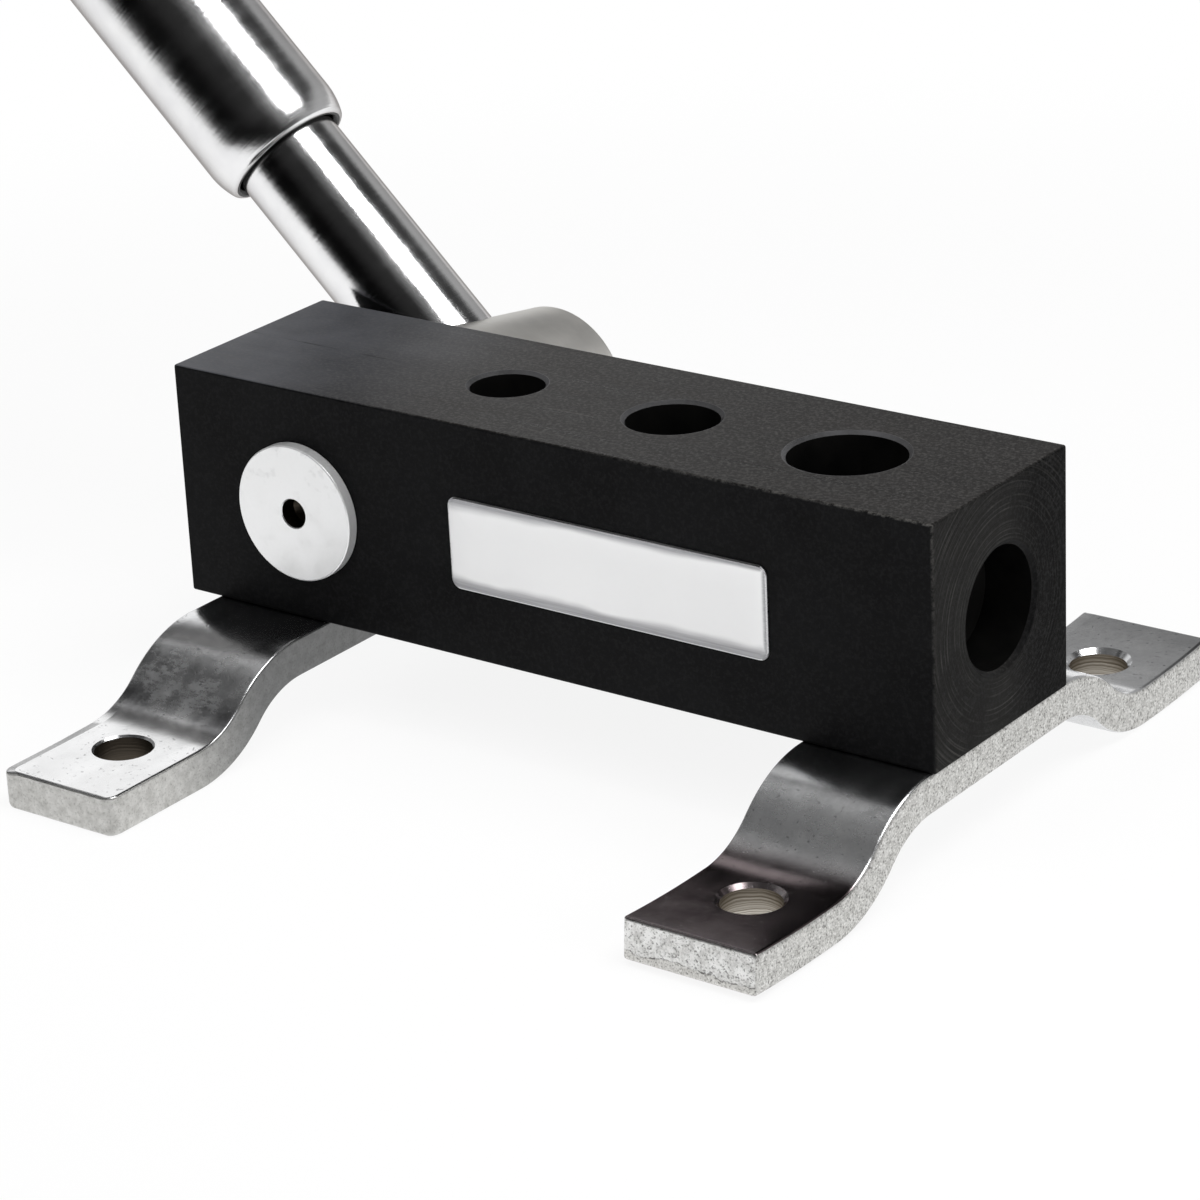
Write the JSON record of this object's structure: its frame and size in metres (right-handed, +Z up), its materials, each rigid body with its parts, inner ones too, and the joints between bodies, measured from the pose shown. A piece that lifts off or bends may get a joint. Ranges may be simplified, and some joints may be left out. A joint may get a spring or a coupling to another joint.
{
  "type": "pipe notcher",
  "caption": "Bench pipe notcher: a black block with pipe holes of stepped size, a sliding ram worked by a crank and hand lever, on two bent strap feet.",
  "frame": {"origin": "on the bench plane, midway between the right strap's two foot holes", "axes": "+X along the block towards the end with the ram's bore, +Y from the plate's face to the lever's side, +Z up"},
  "size_m": [0.4924, 0.2, 0.3543],
  "materials": {
    "black_steel": "black oxide, matte",
    "plate": "pale, smooth, bare",
    "zinc_strap": "bright zinc plate",
    "ground_steel": "ground",
    "bright_disc": "satin zinc plate",
    "bronze": "machined",
    "satin_steel": "turned, satin",
    "zinc_fastener": "zinc plate",
    "polished_rod": "polished",
    "polished_tube": "polished",
    "black_plastic": "moulded"
  },
  "bodies": {
    "frame": {"body_block": "black_steel", "name_plate": "plate", "left_strap": "zinc_strap", "right_strap": "zinc_strap", "left_bolt_front": "zinc_fastener", "left_lock_front": "zinc_fastener", "left_bolt_back": "zinc_fastener", "left_lock_back": "zinc_fastener", "right_bolt_front": "zinc_fastener", "right_lock_front": "zinc_fastener", "right_bolt_back": "zinc_fastener", "right_lock_back": "zinc_fastener"},
    "crank": {"drive_shaft": "ground_steel", "front_disc": "bright_disc", "crank_pin": "ground_steel", "thrust_washer": "bronze", "lever_hub": "satin_steel", "hub_key": "ground_steel", "hub_washer": "zinc_fastener", "hub_screw": "zinc_fastener", "lever_rod": "polished_rod", "rod_pin": "ground_steel"},
    "roller": {"crank_roller": "ground_steel"},
    "ram": {"ram": "ground_steel"},
    "handle": {"handle_tube": "polished_tube", "tube_stop": "satin_steel", "tube_cap": "black_plastic"}
  },
  "joints": [
    {"name": "lever_turn", "type": "hinge", "parent": "frame", "child": "crank", "pos_m": [-0.1549, 0, 0.0514], "axis": [0, 1, 0], "range_deg": [0, 93.4]},
    {"name": "ram_slide", "type": "slide", "parent": "frame", "child": "ram", "axis": [1, 0, 0], "range_m": [0, 0.012]},
    {"name": "roller_turn", "type": "hinge", "parent": "crank", "child": "roller", "pos_m": [-0.16087, 0, 0.05702], "axis": [0, 1, 0], "continuous": true},
    {"name": "handle_slide", "type": "slide", "parent": "crank", "child": "handle", "axis": [-0.7278, 0, 0.6858], "range_m": [0, 0.12]}
  ],
  "couplings": [
    {"joint": "ram_slide", "follows": "lever_turn", "m_per_rad": 0.0073218}
  ]
}
